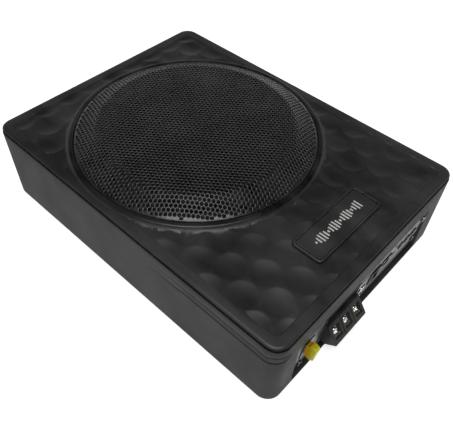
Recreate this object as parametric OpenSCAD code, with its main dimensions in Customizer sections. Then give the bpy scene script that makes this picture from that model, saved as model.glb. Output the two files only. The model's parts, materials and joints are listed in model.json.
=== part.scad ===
// Powered under-seat car subwoofer: a shallow tub with a dimpled cover, an eight-inch driver under
// a perforated grille, and an amplifier whose connectors sit in a recessed panel at the +X end.
// The origin is the centre of the underside, on the plane of the rubber pads.

/* [Body] */
// Length of the body along X
body_l = 341; // [320:1:380]
// Width of the body along Y
body_w = 250; // [244:1:280]
// Height at which the cover meets the base
parting_z = 79; // [76:0.5:84]
// Height of the cover above the parting line
cover_h = 3.6; // [3.2:0.1:5]
// Radius of the vertical corners
corner_r = 13; // [8:1:18]
// Thickness of the base walls
wall_t = 3; // [2.5:0.1:4]

/* [Dimples] */
// Distance between the centres of neighbouring dimples
dimple_pitch = 26.8; // [24:0.2:32]
// Radius of one dimple at the surface
dimple_r = 12.6; // [8:0.1:12.8]
// Depth of a dimple
dimple_depth = 1.3; // [0.5:0.1:1.4]
// Width of the plain border round the dimpled field
border_w = 10; // [6:0.5:14]
// Shift of the dimple pattern along Y
dimple_shift = 2.5; // [-13:0.5:13]

/* [Driver] */
// Distance of the driver axis from the middle of the body, towards -X
driver_offset = 31; // [24:1:36]
// Outer radius of the grille
grille_r = 112.5; // [110:0.5:113]
// Radius of the flat middle of the grille
plateau_r = 91; // [80:1:96]
// Height of the grille's flat middle above its rim
grille_rise = 10.8; // [8:0.2:14]
// Largest travel of the cone each way
cone_travel = 6; // [3:0.5:6]
// Radius of the voice coil former
coil_r = 25; // [20:0.5:26]

/* [Panel] */
// Lower edge of the panel recess
recess_z = 4.6; // [4.6:0.1:6]
// Height of the panel recess
recess_h = 52.4; // [50:0.2:54]
// Lean of the panel, in degrees: its top edge is nearer the wall
panel_lean = 4.4; // [3:0.1:5]
// Depth of the panel behind the wall at its lower edge
panel_depth = 4.6; // [4:0.1:5]

/* [Hidden] */
$fn = 96;

eps = 0.05;
half_l = body_l / 2;
half_w = body_w / 2;
driver_x = -driver_offset;
underside_z = 1;
floor_z = 4.5;
seam_gap = 0.7;
cover_top = parting_z + cover_h;
step_down = 0.8;
field_z = cover_top - step_down;
plate_under = parting_z + 0.3;
edge_round = 3.2;
field_corner = 5;

// Well, lip and grille, as radii about the driver axis
seat_z = 77;
seat_t = 3;
mouth_r = 97;
well_r = 107.6;
lip_in = grille_r + 0.8;
lip_out = 117;
flank_out = 120;
lip_z = 84.5;
groove_z = 80;
grille_t = 1;
rim_z = lip_z + 0.1;
plateau_z = rim_z + grille_rise;

// Driver, downwards from its flange
flange_t = 1.6;
flange_z = seat_z + 1;
flange_top = flange_z + flange_t;
flange_r = 106.5;
driver_screw_r = 101.8;
roll_r = 87.5;
roll_out = 6.5;
roll_t = 1;
lip_end = 98.3;
cone_t = 0.9;
cone_r = 78;
neck_z = 63;
cap_r = 31;
cap_rise = 6;
shelf_z = 60;
shelf_r = 67;
spider_out = 66;
spider_t = 0.4;
spider_waves = 5;
plate_z = 46;
plate_t = 6;
plate_r = 56;
gap = 0.7;
magnet_z = 30;
magnet_r = 62;
back_z = 24;
former_t = 0.3;
winding_t = 0.9;
sheet_t = 1.6;
coil_overhang = cone_travel - 1;
tab_reach = 93.4;

// Badge on the cover, long side along Y
badge_x = 129.5;
badge_l = 86;
badge_w = 29;
badge_r = 4;

// Recess for the panel, in Y, and the places on it
recess_lo = -98;
recess_hi = 92;
panel_t = 4;
flange_w = 4.5;
block_y = -37.3;
block_w = 42.5;
block_lo = block_y - 25;
block_hi = block_y + 21.7;
block_h = [10.4, 50.4];
pocket_h = [35.6, 49.2];
way_pitch = 14.1;
fuse_y = -82.9;
fuse_h = 34;
rca_y = -6.5;
rca_upper = 29.2;
rca_lower = 15.1;
rca_h = [7.4, 45];
barrel_r = 4.15;
barrel_end = 1.2;
insert_r = 3.45;
jack_well_r = 6.4;
jack_well_x = -6.6;
socket_y = 11.5;
socket_h = 33.4;
port_y = 30;
port_h = 33.4;
switch_y = 44;
switch_h = 31.4;
switch_travel = 1.5;
knob_h = 33.4;
gain_y = 55.5;
crossover_y = 66.5;
boost_y = 77.5;
knob_r = 4.2;
lamp_y = 44;
lamp_h = 42.4;

// The slope that holds the terminal screws, in X and Z, as distances from the wall and heights
slope_top = [1, 39.6];
slope_nose = [12, 24];
slope_foot = [2.5, 15.3];
slope_angle = atan2(slope_top[1] - slope_nose[1], slope_nose[0] - slope_top[0]);

cover_screw_at = [[157, 111], [157, -111], [62, 111], [62, -111], [-157, 111], [-157, -111], [-157, 0]];
foot_at = [[140, 78], [140, -78], [-140, 78], [-140, -78]];
insert_at = [[130, 95], [130, -95], [-130, 95], [-130, -95]];
panel_screw_at = [[-85.5, 8.4], [86, 16.4], [86, 45.4]];
board_x0 = 84;
board_x1 = 158;
board_z = 10;
board_t = 1.6;
board_half = 80;
board_screw_at = [[90, -74], [90, 74], [152, -68], [152, 68]];
boss_r = 7;
shoulder_z = 60;

// Plain building blocks

module rounded(l, w, r) {
    square([l - 2 * r, w], center = true);
    square([l, w - 2 * r], center = true);
    for (x = [-1, 1], y = [-1, 1])
        translate([x * (l / 2 - r), y * (w / 2 - r)]) circle(r);
}

module prism(l, w, r, z0, z1) {
    translate([0, 0, z0]) linear_extrude(z1 - z0) rounded(l, w, r);
}

module disc(r, z0, z1) {
    translate([0, 0, z0]) cylinder(r = r, h = z1 - z0);
}

module ring(r_in, r_out, z0, z1) {
    difference() {
        disc(r_out, z0, z1);
        disc(r_in, z0 - 1, z1 + 1);
    }
}

module block(x0, x1, y0, y1, z0, z1) {
    translate([x0, y0, z0]) cube([x1 - x0, y1 - y0, z1 - z0]);
}

module on_driver() {
    translate([driver_x, 0, 0]) children();
}

// The panel's own frame: X out of its face, Y along it, Z up it from its lower edge
module on_panel(y = 0, h = 0) {
    translate([half_l - panel_depth, y, recess_z]) rotate([0, panel_lean, 0])
        translate([0, 0, h]) children();
}

// A cylinder along X in the current frame
module rod(r, x0, x1) {
    translate([x0, 0, 0]) rotate([0, 90, 0]) cylinder(r = r, h = x1 - x0);
}

module bar(x0, x1, w, h) {
    translate([x0, -w / 2, -h / 2]) cube([x1 - x0, w, h]);
}

// Housing

module base_shell() {
    color([0.3, 0.31, 0.31]) difference() {
        union() {
            difference() {
                prism(body_l, body_w, corner_r, underside_z, parting_z - seam_gap);
                prism(body_l - 2 * wall_t, body_w - 2 * wall_t, corner_r - wall_t, floor_z, parting_z + 1);
            }
            for (p = cover_screw_at)
                translate(p) disc(boss_r, floor_z - eps, shoulder_z + 12);
            for (p = insert_at)
                translate(p) disc(boss_r, floor_z - eps, 14);
            for (p = board_screw_at)
                translate(p) disc(4, floor_z - eps, board_z);
            panel_posts();
        }
        for (p = cover_screw_at)
            translate(p) {
                disc(4.4, 0, shoulder_z);
                disc(2.2, 0, shoulder_z + 20);
            }
        for (p = insert_at)
            translate(p) disc(3.5, 0, 12);
        for (p = foot_at)
            translate(p) disc(12.2, 0, underside_z + 1);
        for (p = board_screw_at)
            translate(p) disc(1.3, floor_z + 0.5, board_z + 1);
        for (p = panel_screw_at)
            on_panel(p[0], p[1]) rod(1.5, -17, -5);
        block(half_l - wall_t - 1, half_l + 1, recess_lo, recess_hi, recess_z, recess_z + recess_h);
    }
}

module panel_posts() {
    block(half_l - 21, half_l - 11, -91, -80.5, floor_z - eps, 20);
    block(half_l - 21, half_l - 11, 83, 92, floor_z - eps, 56);
}

module foot_pads() {
    color([0.08, 0.08, 0.08])
        for (p = foot_at)
            translate(p) disc(12, 0, underside_z + 1);
}

module bracket_inserts() {
    color([0.75, 0.6, 0.3])
        for (p = insert_at)
            translate(p) ring(2.5, 3.5, underside_z, 12);
}

// Cover

// Whole dimples only: each is a shallow cap of a large ball, clear of the border, ring and badge
module dimples() {
    ball_r = (dimple_r * dimple_r + dimple_depth * dimple_depth) / (2 * dimple_depth);
    column = dimple_pitch * sqrt(3) / 2;
    for (i = [0 : 13], j = [-5 : 5]) {
        x = 142 - i * column;
        y = (j + (i % 2 == 0 ? 0.5 : 0)) * dimple_pitch + dimple_shift;
        off_ring = norm([x - driver_x, y]) > flank_out + dimple_r;
        off_badge = abs(x - badge_x) > badge_w / 2 + dimple_r || abs(y) > badge_l / 2 + dimple_r;
        in_field = abs(y) < half_w - border_w - dimple_r && abs(x) < half_l - border_w - dimple_r;
        if (off_ring && off_badge && in_field)
            translate([x, y, field_z - dimple_depth + ball_r]) sphere(ball_r);
    }
}

module rolled_slab() {
    intersection() {
        prism(body_l, body_w, corner_r, parting_z, cover_top + 1);
        rotate([90, 0, 0]) rolled_profile(body_l, body_w + 4);
        rotate([90, 0, 90]) rolled_profile(body_w, body_l + 4);
    }
}

module rolled_profile(span, depth) {
    translate([0, 0, -depth / 2]) linear_extrude(depth) {
        translate([-span / 2, parting_z - 1]) square([span, cover_h + 1 - edge_round]);
        translate([-span / 2 + edge_round, parting_z - 1]) square([span - 2 * edge_round, cover_h + 1]);
        for (s = [-1, 1])
            translate([s * (span / 2 - edge_round), cover_top - edge_round]) circle(edge_round);
    }
}

module lip_profile() {
    polygon([[mouth_r + 1, seat_z - seat_t], [well_r + 3, seat_z - seat_t], [well_r + 3, plate_under],
        [flank_out, plate_under], [flank_out, field_z], [lip_out + 0.6, lip_z - 0.5], [lip_out - 0.3, lip_z],
        [lip_in + 0.4, lip_z], [lip_in, lip_z - 0.4], [lip_in, groove_z], [well_r, groove_z],
        [well_r, seat_z], [mouth_r + 1, seat_z]]);
}

module top_cover() {
    color([0.2, 0.2, 0.19]) difference() {
        union() {
            difference() {
                rolled_slab();
                prism(body_l - 2 * border_w, body_w - 2 * border_w, field_corner, field_z, cover_top + 2);
                prism(body_l - 2 * wall_t - 1.5, body_w - 2 * wall_t - 1.5, corner_r - wall_t,
                    parting_z - 1, plate_under);
                on_driver() disc(lip_out, parting_z - 1, cover_top + 2);
            }
            on_driver() rotate_extrude() lip_profile();
            for (p = cover_screw_at)
                translate(p) disc(5, shoulder_z + 12, plate_under + eps);
            on_driver()
                for (a = [22.5 : 45 : 360])
                    rotate(a) translate([driver_screw_r, 0]) disc(4, 62, seat_z - seat_t + eps);
        }
        dimples();
        on_driver() disc(mouth_r, 50, cover_top + 5);
        for (p = cover_screw_at)
            translate(p) disc(1.55, shoulder_z, plate_under);
        on_driver()
            for (a = [22.5 : 45 : 360])
                rotate(a) translate([driver_screw_r, 0]) disc(1.65, 61, seat_z + 1);
        translate([badge_x, 0, 0])
            prism(badge_w + 0.8, badge_l + 0.8, badge_r, field_z - 1, cover_top + 1);
    }
}

module cover_seal() {
    color([0.1, 0.1, 0.1]) difference() {
        prism(body_l - 2 * 1.4, body_w - 2 * 1.4, corner_r - 1.4, parting_z - seam_gap, parting_z);
        prism(body_l - 2 * 2.7, body_w - 2 * 2.7, corner_r - 2.7, parting_z - 2, parting_z + 1);
    }
}

module cover_screws() {
    color([0.25, 0.25, 0.26])
        for (p = cover_screw_at)
            translate(p) difference() {
                union() {
                    disc(3.8, shoulder_z - 3, shoulder_z);
                    disc(1.5, shoulder_z - eps, plate_under - 0.4);
                }
                cross_slot(shoulder_z - 4, shoulder_z - 1.6);
            }
}

module cross_slot(z0, z1) {
    block(-2.2, 2.2, -0.5, 0.5, z0, z1);
    block(-0.5, 0.5, -2.2, 2.2, z0, z1);
}

module badge_plate() {
    color([0.16, 0.16, 0.16]) translate([badge_x, 0, 0]) difference() {
        prism(badge_w, badge_l, badge_r, field_z - 1, cover_top + 0.9);
        prism(badge_w - 4, badge_l - 4, badge_r - 2, cover_top + 0.1, cover_top + 2);
    }
}

module badge_inlay() {
    color([0.2, 0.2, 0.19]) translate([badge_x, 0, 0])
        prism(badge_w - 4.4, badge_l - 4.4, badge_r - 2.2, cover_top + 0.1, cover_top + 0.6);
}

// Grille

module grille() {
    color([0.12, 0.12, 0.12]) on_driver() rotate_extrude() polygon([
        [0, plateau_z - grille_t], [plateau_r - 0.5, plateau_z - grille_t],
        [grille_r - grille_t, rim_z - 0.8], [grille_r - grille_t, groove_z + 0.8],
        [grille_r, groove_z + 0.8], [grille_r, rim_z], [plateau_r, plateau_z], [0, plateau_z]]);
}

module grille_felt() {
    color([0.06, 0.06, 0.06]) on_driver() ring(grille_r - 3.5, grille_r, groove_z, groove_z + 0.8);
}

// Driver

module driver_basket() {
    plate_top = plate_z + plate_t + sheet_t;
    color([0.18, 0.18, 0.19]) on_driver() difference() {
        rotate_extrude() polygon([
            [flange_r, flange_top], [94, flange_top], [92.2, flange_top - 2.1], [shelf_r + 1.5, shelf_z + 1.4],
            [shelf_r, shelf_z], [59, shelf_z], [57.2, plate_top], [32, plate_top], [32, plate_top - sheet_t],
            [58.6, plate_top - sheet_t], [60.3, shelf_z - sheet_t], [shelf_r + 0.8, shelf_z - sheet_t],
            [shelf_r + 3, shelf_z], [93.6, flange_z - 2], [95, flange_z], [flange_r, flange_z]]);
        for (a = [0 : 60 : 300])
            rotate(a) block(72, 88, -26, 26, 50, 90);
        for (a = [22.5 : 45 : 360])
            rotate(a) translate([driver_screw_r, 0]) disc(2.2, 70, 90);
    }
}

module driver_gasket() {
    color([0.07, 0.07, 0.07]) on_driver() difference() {
        ring(mouth_r + 0.5, flange_r, seat_z, flange_z);
        for (a = [22.5 : 45 : 360])
            rotate(a) translate([driver_screw_r, 0]) disc(2.2, 70, 90);
    }
}

module driver_screws() {
    color([0.22, 0.22, 0.23]) on_driver()
        for (a = [22.5 : 45 : 360])
            rotate(a) translate([driver_screw_r, 0]) difference() {
                union() {
                    disc(3, flange_top, flange_top + 2.2);
                    disc(1.6, 64, flange_top + eps);
                }
                cross_slot(flange_top + 1, flange_top + 3);
            }
}

module surround() {
    color([0.1, 0.1, 0.1]) on_driver() rotate_extrude() {
        difference() {
            translate([roll_r, flange_top]) circle(roll_out);
            translate([roll_r, flange_top]) circle(roll_out - roll_t);
            translate([roll_r - 10, flange_top - 20]) square([20, 20]);
        }
        translate([cone_r - 1, flange_top]) square([roll_r - roll_out + roll_t - cone_r + 1, roll_t]);
        translate([roll_r + roll_out - roll_t, flange_top])
            square([lip_end - roll_r - roll_out + roll_t, roll_t]);
    }
}

module cone() {
    color([0.14, 0.14, 0.14]) on_driver() rotate_extrude() polygon([
        [coil_r + former_t, neck_z], [coil_r + former_t, neck_z - 1], [cone_r - 0.3, flange_top - cone_t - 0.6],
        [roll_r - roll_out, flange_top - cone_t], [roll_r - roll_out, flange_top], [cone_r - 1, flange_top]]);
}

// The cap is a shallow bowl upside down, seated on the cone's slope
module dust_cap() {
    seat = neck_z + (cap_r - coil_r) * (flange_top - neck_z) / (cone_r - coil_r) + 0.4;
    ball = (cap_r * cap_r + cap_rise * cap_rise) / (2 * cap_rise);
    color([0.13, 0.13, 0.13]) on_driver() difference() {
        intersection() {
            translate([0, 0, seat + cap_rise - ball]) sphere(ball);
            disc(cap_r + 2, seat, seat + 20);
        }
        translate([0, 0, seat + cap_rise - ball]) sphere(ball - 0.7);
    }
}

module coil_former() {
    color([0.65, 0.6, 0.5]) on_driver() ring(coil_r, coil_r + former_t, 38, neck_z + 1);
}

module coil_winding() {
    color([0.7, 0.35, 0.15]) on_driver()
        ring(coil_r + former_t, coil_r + former_t + winding_t, plate_z - coil_overhang,
            plate_z + plate_t + coil_overhang);
}

module spider() {
    inner = coil_r + former_t;
    steps = spider_waves * 6;
    span = 58 - inner;
    wave = [for (i = [0 : steps]) [inner + 1 + i * (span - 1) / steps, 0.9 * sin(i * 60)]];
    color([0.6, 0.45, 0.2]) on_driver() translate([0, 0, shelf_z]) rotate_extrude() polygon(concat(
        [[inner, spider_t], [inner, 0]],
        wave,
        [[59, 0], [spider_out, 0], [spider_out, spider_t], [59, spider_t]],
        [for (i = [steps : -1 : 0]) wave[i] + [0, spider_t]]));
}

module top_plate() {
    color([0.55, 0.55, 0.57]) on_driver()
        ring(coil_r + former_t + winding_t + gap, plate_r, plate_z, plate_z + plate_t);
}

module magnet() {
    color([0.2, 0.2, 0.21]) on_driver() ring(32, magnet_r, magnet_z, plate_z);
}

module yoke() {
    color([0.55, 0.55, 0.57]) on_driver() difference() {
        union() {
            disc(58, back_z, magnet_z);
            disc(coil_r - gap, back_z, plate_z + plate_t);
        }
        disc(8, back_z - 1, plate_z + plate_t + 1);
    }
}

module driver_tabs() {
    color([0.7, 0.68, 0.6]) on_driver() rotate(30) {
        block(86, 89, -8, 8, 61, 70.3);
        block(89, 92, -6, -2, 62, 66);
        block(89, 92, 2, 6, 62, 66);
    }
}

// Connector panel

module control_panel() {
    color([0.42, 0.42, 0.41]) difference() {
        on_panel() {
            block(-panel_t, 0, recess_lo + 0.4, recess_hi - 0.4, 0.4, recess_h - 0.6);
            block(-panel_t - 2, -panel_t, recess_lo - flange_w, recess_hi + flange_w, 0.4, recess_h + flange_w);
        }
        on_panel() {
            cutout(block_lo - 0.1, block_hi + 0.1, block_h[0] - 0.1, block_h[1] + 0.1);
            cutout(fuse_y - 6.7, fuse_y + 6.7, fuse_h - 11.7, fuse_h + 11.7);
            cutout(rca_y - 8, rca_y + 8, rca_h[0] - 0.1, rca_h[1] + 0.1);
            cutout(socket_y - 7.2, socket_y + 7.2, socket_h - 9.2, socket_h + 9.2);
            cutout(port_y - 7.2, port_y + 7.2, port_h - 7.2, port_h + 7.2);
            cutout(switch_y - 4.2, switch_y + 4.2, switch_h - 2.2, switch_h + 2.2);
        }
        for (y = [gain_y, crossover_y, boost_y])
            on_panel(y, knob_h) rod(knob_r + 0.4, -9, 1);
        on_panel(lamp_y, lamp_h) rod(1.6, -9, 1);
        for (p = panel_screw_at)
            on_panel(p[0], p[1]) rod(1.8, -9, 1);
    }
}

module cutout(y0, y1, h0, h1) {
    block(-9, 1, y0, y1, h0, h1);
}

module panel_gasket() {
    color([0.07, 0.07, 0.07]) difference() {
        block(half_l - wall_t - 8, half_l - wall_t, recess_lo - 3.5, recess_hi + 3.5, floor_z,
            recess_z + recess_h + 3.5);
        block(half_l - wall_t - 9, half_l, recess_lo, recess_hi, 0, recess_z + recess_h);
        on_panel() block(-40, -panel_t, -140, 140, -30, 80);
    }
}

module panel_screws() {
    color([0.3, 0.3, 0.31])
        for (p = panel_screw_at)
            on_panel(p[0], p[1]) difference() {
                union() {
                    rod(3, 0, 1.8);
                    rod(1.45, -15, eps);
                }
                rotate([0, 90, 0]) cross_slot(0.8, 3);
            }
}

// The block's nose: screws on its upper slope, wire entries in its lower one
module block_section() {
    w = half_l;
    translate([0, block_y + block_w / 2, 0]) rotate([90, 0, 0]) linear_extrude(block_w) polygon([
        [w - 22, slope_top[1] + 0.4], [w - 1, slope_top[1] + 0.4], [w + slope_top[0], slope_top[1]],
        [w + slope_nose[0] - 0.6, slope_nose[1] + 0.9], [w + slope_nose[0], slope_nose[1] - 0.6],
        [w + slope_foot[0], slope_foot[1]], [w - 22, slope_foot[1]]]);
}

// A frame on the upper slope of one way: Z out of the slope, X down it
module on_slope(way) {
    translate([half_l + (slope_top[0] + slope_nose[0]) / 2, block_y + way * way_pitch,
        (slope_top[1] + slope_nose[1]) / 2]) rotate([0, slope_angle, 0]) children();
}

module terminal_block() {
    color([0.13, 0.13, 0.13]) difference() {
        union() {
            block_section();
            on_panel() difference() {
                block(-13, 0.8, block_lo, block_hi, block_h[0], block_h[1]);
                block(-11.5, 2, block_lo + 1.4, block_hi - 1.4, pocket_h[0], pocket_h[1]);
            }
        }
        for (way = [-1 : 1]) {
            on_slope(way) block(-6, 5.5, -4.6, 4.6, -5, 6);
            on_slope(way) disc(2, -12, 0);
            translate([half_l + 8, block_y + way * way_pitch, 20]) rotate([0, 135, 0])
                disc(4, -10, 9);
        }
        for (way = [-0.5, 0.5])
            on_slope(way) block(-9, 9.5, -0.4, 0.4, -0.7, 3);
    }
}

module terminal_clamps() {
    color([0.8, 0.79, 0.74])
        for (way = [-1 : 1])
            on_slope(way) difference() {
                block(-5.6, 5.1, -4.2, 4.2, -4.9, -3.7);
                disc(2, -6, 0);
            }
}

module terminal_screw(way) {
    color([0.82, 0.81, 0.78]) on_slope(way) difference() {
        union() {
            disc(3.3, -3.4, -1.4);
            disc(1.7, -11, -3.3);
        }
        block(-3.5, 3.5, -0.5, 0.5, -2.4, -1);
    }
}

module terminal_screw_power() {
    terminal_screw(-1);
}

module terminal_screw_remote() {
    terminal_screw(0);
}

module terminal_screw_ground() {
    terminal_screw(1);
}

module fuse_holder() {
    color([0.1, 0.1, 0.1]) on_panel(fuse_y, fuse_h) difference() {
        union() {
            bar(-panel_t, 0.8, 13, 23);
            bar(-20, -panel_t, 10.4, 21);
        }
        bar(-6.4, 2, 6.2, 14.8);
        for (s = [-1, 1])
            translate([0, 0, s * 4.6]) bar(-19, 0, 1.3, 5.6);
    }
}

// A blade fuse: a head with cut corners, a narrower waist and two blades
module fuse() {
    color([0.95, 0.85, 0.05]) on_panel(fuse_y, fuse_h) rotate([90, 0, 0]) {
        translate([0, 0, -2.7]) linear_extrude(5.4) polygon([
            [-6, -7], [2, -7], [3.6, -9.4], [7.6, -9.4], [9.8, -7.4],
            [9.8, 7.4], [7.6, 9.4], [3.6, 9.4], [2, 7], [-6, 7]]);
        for (s = [-1, 1])
            translate([0, s * 4.6, 0]) bar(-18, -6 + eps, 4.8, 0.7);
    }
}

module rca_block() {
    color([0.1, 0.1, 0.1]) on_panel(rca_y, 0) difference() {
        block(-22, 0.4, -7.8, 7.8, rca_h[0], rca_h[1]);
        for (h = [rca_lower, rca_upper])
            translate([0, 0, h]) {
                rod(jack_well_r, jack_well_x, 2);
                rod(insert_r + eps, -10, 2);
            }
    }
}

module rca_barrels() {
    color([0.82, 0.82, 0.83]) on_panel(rca_y, 0)
        for (h = [rca_lower, rca_upper])
            translate([0, 0, h]) difference() {
                rod(barrel_r, jack_well_x, barrel_end);
                rod(insert_r + eps, jack_well_x - 1, barrel_end + 1);
            }
}

module rca_insert(h) {
    on_panel(rca_y, h) difference() {
        rod(insert_r, -10, barrel_end - 0.6);
        rod(1.6, -8, barrel_end + 1);
    }
}

module rca_insert_left() {
    color([0.92, 0.91, 0.89]) rca_insert(rca_upper);
}

module rca_insert_right() {
    color([0.8, 0.15, 0.15]) rca_insert(rca_lower);
}

module speaker_socket() {
    color([0.09, 0.09, 0.09]) on_panel(socket_y, socket_h) difference() {
        union() {
            bar(-20, 1.6, 13.2, 17.2);
            bar(0, 0.8, 14, 18);
        }
        bar(-12, 3, 10.2, 14.2);
    }
}

module socket_pins() {
    color([0.85, 0.83, 0.75]) on_panel(socket_y, socket_h)
        for (y = [-2.4, 2.4], h = [-4.4, 0, 4.4])
            translate([0, y, h]) bar(-12, -5, 0.9, 0.9);
}

module remote_port() {
    color([0.09, 0.09, 0.09]) on_panel(port_y, port_h) difference() {
        bar(-18, 1, 13.6, 13.6);
        translate([0, 0, -0.6]) bar(-12, 2, 9.8, 7.4);
        translate([0, 0, 4]) bar(-12, 2, 4.2, 3);
    }
}

module slide_switch() {
    color([0.5, 0.5, 0.5]) on_panel(switch_y, switch_h) difference() {
        bar(-12, -panel_t - 2.1, 12, 7);
        bar(-9, 0, 6.8, 3.5);
    }
}

module switch_slider() {
    color([0.12, 0.12, 0.12]) on_panel(switch_y - switch_travel, switch_h) {
        bar(-8.6, 0.6, 3.2, 2.9);
    }
}

module pots() {
    color([0.3, 0.35, 0.3])
        for (y = [gain_y, crossover_y, boost_y])
            on_panel(y, knob_h) difference() {
                bar(-16, -panel_t - 2.1, 9.6, 10);
                rod(2.55, -15, 0);
            }
}

module knob(y) {
    color([0.16, 0.16, 0.16]) on_panel(y, knob_h) difference() {
        union() {
            rod(knob_r, -panel_t - 1.6, 1.4);
            rod(2.5, -14, -panel_t - 1.5);
        }
        bar(0.4, 3, 1, 6);
    }
}

module gain_knob() {
    knob(gain_y);
}

module crossover_knob() {
    knob(crossover_y);
}

module boost_knob() {
    knob(boost_y);
}

module power_lamp() {
    color([0.75, 0.2, 0.15]) on_panel(lamp_y, lamp_h) {
        rod(1.4, -8, 0.4);
        rod(0.9, 0.4 - eps, 0.8);
    }
}

// Amplifier

module circuit_board() {
    color([0.1, 0.35, 0.2]) difference() {
        block(board_x0, board_x1, -board_half, board_half, board_z, board_z + board_t);
        for (p = board_screw_at)
            translate(p) disc(1.6, board_z - 1, board_z + 3);
    }
}

module board_screws() {
    color([0.7, 0.7, 0.7])
        for (p = board_screw_at)
            translate(p) difference() {
                union() {
                    disc(2.8, board_z + board_t, board_z + board_t + 2);
                    disc(1.25, board_z - 5, board_z + board_t + eps);
                }
                cross_slot(board_z + board_t + 1, board_z + board_t + 3);
            }
}

module heat_sink() {
    base_z = board_z + board_t;
    color([0.6, 0.6, 0.62]) {
        block(98, 101, -70, 60, base_z, base_z + 28);
        for (z = [base_z + 3 : 5 : base_z + 26])
            block(88, 98 + eps, -70, 60, z, z + 1.5);
    }
}

module power_transistors() {
    base_z = board_z + board_t;
    color([0.08, 0.08, 0.08])
        for (y = [-60 : 22 : 50]) {
            block(101, 105.5, y - 5, y + 5, base_z + 5, base_z + 20);
            for (s = [-2.5, 0, 2.5])
                block(102.6, 103.4, y + s - 0.4, y + s + 0.4, base_z, base_z + 5 + eps);
        }
}

module capacitors() {
    base_z = board_z + board_t;
    color([0.12, 0.14, 0.3])
        for (y = [-4, 18, 40])
            translate([120, y]) disc(9, base_z, base_z + 32);
}

module choke() {
    color([0.65, 0.35, 0.15]) translate([120, 64, board_z + board_t + 5]) rotate_extrude()
        translate([8.5, 0]) circle(4.5);
}

module wire(points, r) {
    for (i = [0 : len(points) - 2])
        hull()
            for (p = [points[i], points[i + 1]])
                translate(p) sphere(r, $fn = 10);
}

module speaker_leads() {
    r = 1.3;
    start_z = board_z + board_t + r + eps;
    color([0.15, 0.15, 0.15])
        for (s = [-4, 4]) {
            tab = [driver_x + tab_reach * cos(30) - s * sin(30), tab_reach * sin(30) + s * cos(30), 64];
            wire([[140, 20 + s, start_z], [140, 20 + s, 52], [72, 58 + s, 56], tab], r);
        }
}

base_shell();
foot_pads();
bracket_inserts();
top_cover();
cover_seal();
cover_screws();
grille();
grille_felt();
badge_plate();
badge_inlay();
driver_basket();
driver_gasket();
driver_screws();
surround();
cone();
dust_cap();
coil_former();
coil_winding();
spider();
top_plate();
magnet();
yoke();
driver_tabs();
control_panel();
panel_gasket();
panel_screws();
terminal_block();
terminal_clamps();
terminal_screw_power();
terminal_screw_remote();
terminal_screw_ground();
fuse_holder();
fuse();
rca_block();
rca_barrels();
rca_insert_left();
rca_insert_right();
speaker_socket();
socket_pins();
remote_port();
slide_switch();
switch_slider();
pots();
gain_knob();
crossover_knob();
boost_knob();
power_lamp();
circuit_board();
board_screws();
heat_sink();
power_transistors();
capacitors();
choke();
speaker_leads();
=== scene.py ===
"""Looks of a powered under-seat car subwoofer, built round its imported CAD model."""

import json
import math

import bmesh
import bpy
import numpy as np
from mathutils import Matrix, Vector
from mathutils.geometry import delaunay_2d_cdt


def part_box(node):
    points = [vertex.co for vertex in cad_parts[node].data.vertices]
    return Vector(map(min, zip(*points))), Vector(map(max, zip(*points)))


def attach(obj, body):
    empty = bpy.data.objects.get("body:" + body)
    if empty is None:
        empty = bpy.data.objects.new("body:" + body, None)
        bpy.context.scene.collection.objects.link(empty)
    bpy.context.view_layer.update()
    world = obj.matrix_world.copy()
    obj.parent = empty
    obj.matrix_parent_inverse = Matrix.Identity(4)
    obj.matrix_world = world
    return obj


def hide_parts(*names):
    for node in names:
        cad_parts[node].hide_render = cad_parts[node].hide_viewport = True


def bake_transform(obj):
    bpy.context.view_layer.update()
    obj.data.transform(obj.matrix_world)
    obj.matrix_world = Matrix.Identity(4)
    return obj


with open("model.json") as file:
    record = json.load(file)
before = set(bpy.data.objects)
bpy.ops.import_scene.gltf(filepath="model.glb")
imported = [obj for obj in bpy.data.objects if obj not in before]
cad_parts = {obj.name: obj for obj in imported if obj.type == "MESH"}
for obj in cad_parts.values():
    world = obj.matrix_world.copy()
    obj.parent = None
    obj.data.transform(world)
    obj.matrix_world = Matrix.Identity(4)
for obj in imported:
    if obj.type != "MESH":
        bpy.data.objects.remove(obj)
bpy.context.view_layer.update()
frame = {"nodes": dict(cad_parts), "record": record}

MM = 0.001


# ---- sizes, in millimetres, from the frame


def box_mm(node):
    """Lowest and highest corner of a CAD node, in millimetres."""
    lo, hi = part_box(node)
    return [v / MM for v in lo], [v / MM for v in hi]


def middle(node, axis):
    """Middle of a CAD node along one axis, in millimetres."""
    lo, hi = box_mm(node)
    return (lo[axis] + hi[axis]) / 2


base_lo, base_hi = box_mm("base_shell")
grille_hi = box_mm("grille")[1]
plate_lo, plate_hi = box_mm("badge_plate")

# The base tub: half its length and width, its corners, its walls and its floor
HALF_L, HALF_W = base_hi[0], base_hi[1]
CORNER = 13.0
UNDERSIDE, BASE_TOP = base_lo[2], base_hi[2]
WALL, FLOOR = 3.0, 4.5

# The cover: the plane it parts from the base on, its plain border and the dimpled field inside that
PARTING = box_mm("cover_seal")[1][2]
CEILING = PARTING + 0.3
COVER_TOP = box_mm("badge_inlay")[0][2] - 0.1
EDGE_ROUND = 3.2
SKIRT = 3.2
BORDER, FIELD_CORNER = 10.0, 5.0
FIELD = COVER_TOP - 0.8
FIELD_RAMP = 0.9

# The ring round the grille and the well that holds the driver
DRIVER_X = middle("grille", 0)
GRILLE_R = grille_hi[1]
GRILLE_TOP = grille_hi[2]
LIP_TOP = box_mm("top_cover")[1][2]
GROOVE = box_mm("grille_felt")[0][2]
LIP_IN = GRILLE_R + 0.8
LIP_START = 116.2
SEAT = box_mm("driver_gasket")[0][2]
SEAT_UNDER = SEAT - 3.0
WELL_R, MOUTH_R = 107.6, 98.0
COLLAR_R = WELL_R + 3

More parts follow.
